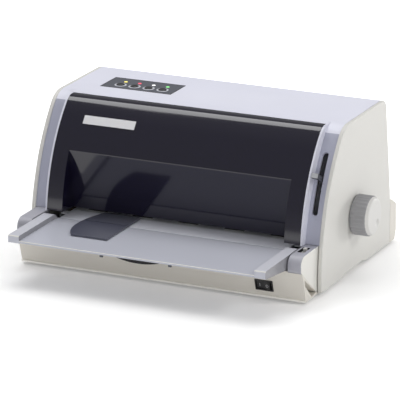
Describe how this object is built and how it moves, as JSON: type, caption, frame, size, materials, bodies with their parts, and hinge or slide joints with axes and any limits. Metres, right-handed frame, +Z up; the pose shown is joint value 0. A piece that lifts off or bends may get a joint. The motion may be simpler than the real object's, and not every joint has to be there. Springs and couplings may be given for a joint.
{
  "type": "dot matrix printer",
  "caption": "Flatbed dot matrix printer with a smoked hinged cover, folding front tray, paper guide, platen knob, thickness lever, buttons and a sliding print head.",
  "frame": {"origin": "on the desk under the middle of the whole box, knob and tray included", "axes": "+X to the right as the operator sees it, +Y from the front tray to the rear, +Z up"},
  "size_m": [0.404, 0.342, 0.1902],
  "materials": {
    "base_greige": "fine grained moulded plastic",
    "case_lilac": "fine grained moulded plastic",
    "panel_white": "fine grained moulded plastic",
    "rubber_black": "matt rubber",
    "steel_zinc": "zinc plated sheet",
    "steel_bright": "ground and polished",
    "cover_smoke": "polished smoked plastic",
    "plate_silver": "satin foil",
    "tray_grey": "semi-gloss moulded plastic",
    "guide_slate": "satin",
    "bush_bronze": "sintered bronze",
    "gear_white": "acetal",
    "motor_dark": "satin",
    "knob_grey": "fine grained",
    "knob_blue": "satin",
    "black_plastic": "satin",
    "head_alloy": "die cast, dark",
    "ribbon_ink": "inked nylon",
    "cable_grey": "flat flexible cable",
    "lever_grey": "satin",
    "panel_grey": "satin film",
    "button_black": "satin",
    "light_clear": "clear lens",
    "board_green": "solder mask"
  },
  "bodies": {
    "chassis": {"base_pan": "base_greige", "left_front_block": "case_lilac", "right_front_block": "case_lilac", "upper_case": "case_lilac", "left_side_panel": "panel_white", "right_side_panel": "panel_white", "rubber_feet": "rubber_black", "case_screws": "steel_zinc", "paper_bed": "tray_grey", "platen": "rubber_black", "left_frame": "steel_zinc", "right_frame": "steel_zinc", "cross_members": "steel_zinc", "shaft_bushes": "bush_bronze", "power_supply": "steel_zinc", "feed_motor": "motor_dark", "guide_shaft": "steel_bright", "rear_rail": "steel_zinc", "drive_belt": "rubber_black", "carriage_motor": "motor_dark", "belt_bracket": "steel_zinc", "ribbon_cartridge": "black_plastic", "ink_ribbon": "ribbon_ink", "control_panel": "panel_grey", "status_lights": "light_clear", "panel_board": "board_green", "power_switch": "black_plastic", "main_board": "board_green", "rear_sockets": "black_plastic"},
    "cover": {"front_cover": "cover_smoke", "name_plate": "plate_silver"},
    "tray": {"paper_tray": "tray_grey"},
    "guide": {"paper_guide": "guide_slate"},
    "rear_guide": {"inner_guide": "guide_slate"},
    "knob": {"platen_knob": "knob_grey", "knob_shaft": "steel_bright", "knob_gear": "gear_white"},
    "rear_feed": {"rear_feed_shaft": "steel_bright", "rear_feed_rollers": "rubber_black", "rear_feed_gear": "gear_white"},
    "front_feed": {"front_feed_shaft": "steel_bright", "front_feed_rollers": "rubber_black", "front_feed_gear": "gear_white"},
    "idler": {"idler_gear": "gear_white"},
    "front_pinch": {"front_pinch_roller": "gear_white"},
    "rear_pinch": {"rear_pinch_roller": "gear_white"},
    "pinion": {"motor_pinion": "bush_bronze"},
    "carriage_body": {"carriage": "black_plastic", "print_head": "head_alloy", "head_cable": "cable_grey"},
    "motor_pulley": {"drive_pulley": "gear_white"},
    "end_pulley": {"idler_pulley": "gear_white"},
    "lever": {"thickness_lever": "lever_grey"},
    "ribbon_turner": {"ribbon_knob": "knob_blue"},
    "key_1": {"button_1": "button_black"},
    "key_2": {"button_2": "button_black"},
    "key_3": {"button_3": "button_black"},
    "key_4": {"button_4": "button_black"},
    "rocker": {"switch_rocker": "button_black"},
    "latch": {"tray_latch": "knob_grey"}
  },
  "joints": [
    {"name": "cover_hinge", "type": "hinge", "parent": "chassis", "child": "cover", "pos_m": [-0.012, -0.00403, 0.18], "axis": [-1, 0, 0], "range_deg": [0, 100]},
    {"name": "tray_fold", "type": "hinge", "parent": "chassis", "child": "tray", "pos_m": [-0.012, -0.082, 0.045], "axis": [-1, 0, 0], "range_deg": [0, 72]},
    {"name": "guide_slide", "type": "slide", "parent": "tray", "child": "guide", "axis": [1, 0, 0], "range_m": [-0.028, 0.06]},
    {"name": "inner_guide_slide", "type": "slide", "parent": "chassis", "child": "rear_guide", "axis": [1, 0, 0], "range_m": [-0.028, 0.06]},
    {"name": "knob_turn", "type": "hinge", "parent": "chassis", "child": "knob", "pos_m": [-0.012, 0.04, 0.0715], "axis": [1, 0, 0], "continuous": true},
    {"name": "rear_feed_turn", "type": "hinge", "parent": "chassis", "child": "rear_feed", "pos_m": [-0.012, 0.0558, 0.046], "axis": [1, 0, 0], "continuous": true},
    {"name": "front_feed_turn", "type": "hinge", "parent": "chassis", "child": "front_feed", "pos_m": [-0.012, -0.0182, 0.046], "axis": [1, 0, 0], "continuous": true},
    {"name": "idler_turn", "type": "hinge", "parent": "chassis", "child": "idler", "pos_m": [-0.012, 0.0188, 0.046], "axis": [1, 0, 0], "continuous": true},
    {"name": "front_pinch_turn", "type": "hinge", "parent": "chassis", "child": "front_pinch", "pos_m": [-0.012, -0.0182, 0.0603], "axis": [1, 0, 0], "continuous": true},
    {"name": "rear_pinch_turn", "type": "hinge", "parent": "chassis", "child": "rear_pinch", "pos_m": [-0.012, 0.0558, 0.0603], "axis": [1, 0, 0], "continuous": true},
    {"name": "pinion_turn", "type": "hinge", "parent": "chassis", "child": "pinion", "pos_m": [-0.012, 0.0313, 0.02435], "axis": [1, 0, 0], "continuous": true},
    {"name": "carriage_slide", "type": "slide", "parent": "chassis", "child": "carriage_body", "axis": [1, 0, 0], "range_m": [-0.105, 0.105], "deforming": ["head_cable"]},
    {"name": "motor_pulley_turn", "type": "hinge", "parent": "chassis", "child": "motor_pulley", "pos_m": [-0.15, 0.055, 0.106], "axis": [0, 0, 1], "range_deg": [-700, 700]},
    {"name": "end_pulley_turn", "type": "hinge", "parent": "chassis", "child": "end_pulley", "pos_m": [0.126, 0.055, 0.106], "axis": [0, 0, 1], "range_deg": [-700, 700]},
    {"name": "lever_swing", "type": "hinge", "parent": "chassis", "child": "lever", "pos_m": [0.163, 0.037, 0.0924], "axis": [-1, 0, 0], "range_deg": [-24, 15]},
    {"name": "ribbon_knob_turn", "type": "hinge", "parent": "chassis", "child": "ribbon_turner", "pos_m": [0.084, -0.0195, 0.084], "axis": [0, 0, 1], "continuous": true},
    {"name": "button_1_press", "type": "slide", "parent": "chassis", "child": "key_1", "axis": [0, 0, -1], "range_m": [0, 0.001], "stiffness_N_per_m": 400, "springref_m": -0.001},
    {"name": "button_2_press", "type": "slide", "parent": "chassis", "child": "key_2", "axis": [0, 0, -1], "range_m": [0, 0.001], "stiffness_N_per_m": 400, "springref_m": -0.001},
    {"name": "button_3_press", "type": "slide", "parent": "chassis", "child": "key_3", "axis": [0, 0, -1], "range_m": [0, 0.001], "stiffness_N_per_m": 400, "springref_m": -0.001},
    {"name": "button_4_press", "type": "slide", "parent": "chassis", "child": "key_4", "axis": [0, 0, -1], "range_m": [0, 0.001], "stiffness_N_per_m": 400, "springref_m": -0.001},
    {"name": "rocker_tip", "type": "hinge", "parent": "chassis", "child": "rocker", "pos_m": [0.122, -0.09948, 0.02006], "axis": [0, -0.2941, 0.9558], "range_deg": [0, 16]},
    {"name": "latch_slide", "type": "slide", "parent": "chassis", "child": "latch", "axis": [0, -1, 0], "range_m": [0, 0.009], "stiffness_N_per_m": 150, "springref_m": -0.002}
  ],
  "couplings": [
    {"joint": "rear_feed_turn", "follows": "knob_turn", "ratio": -0.66667},
    {"joint": "idler_turn", "follows": "knob_turn", "ratio": 0.63158},
    {"joint": "front_feed_turn", "follows": "knob_turn", "ratio": -0.66667},
    {"joint": "pinion_turn", "follows": "knob_turn", "ratio": -2},
    {"joint": "front_pinch_turn", "follows": "knob_turn", "ratio": 0.88889},
    {"joint": "rear_pinch_turn", "follows": "knob_turn", "ratio": 0.88889},
    {"joint": "motor_pulley_turn", "follows": "carriage_slide", "rad_per_m": 112.36},
    {"joint": "end_pulley_turn", "follows": "carriage_slide", "rad_per_m": 112.36},
    {"joint": "inner_guide_slide", "follows": "guide_slide", "ratio": 1}
  ]
}
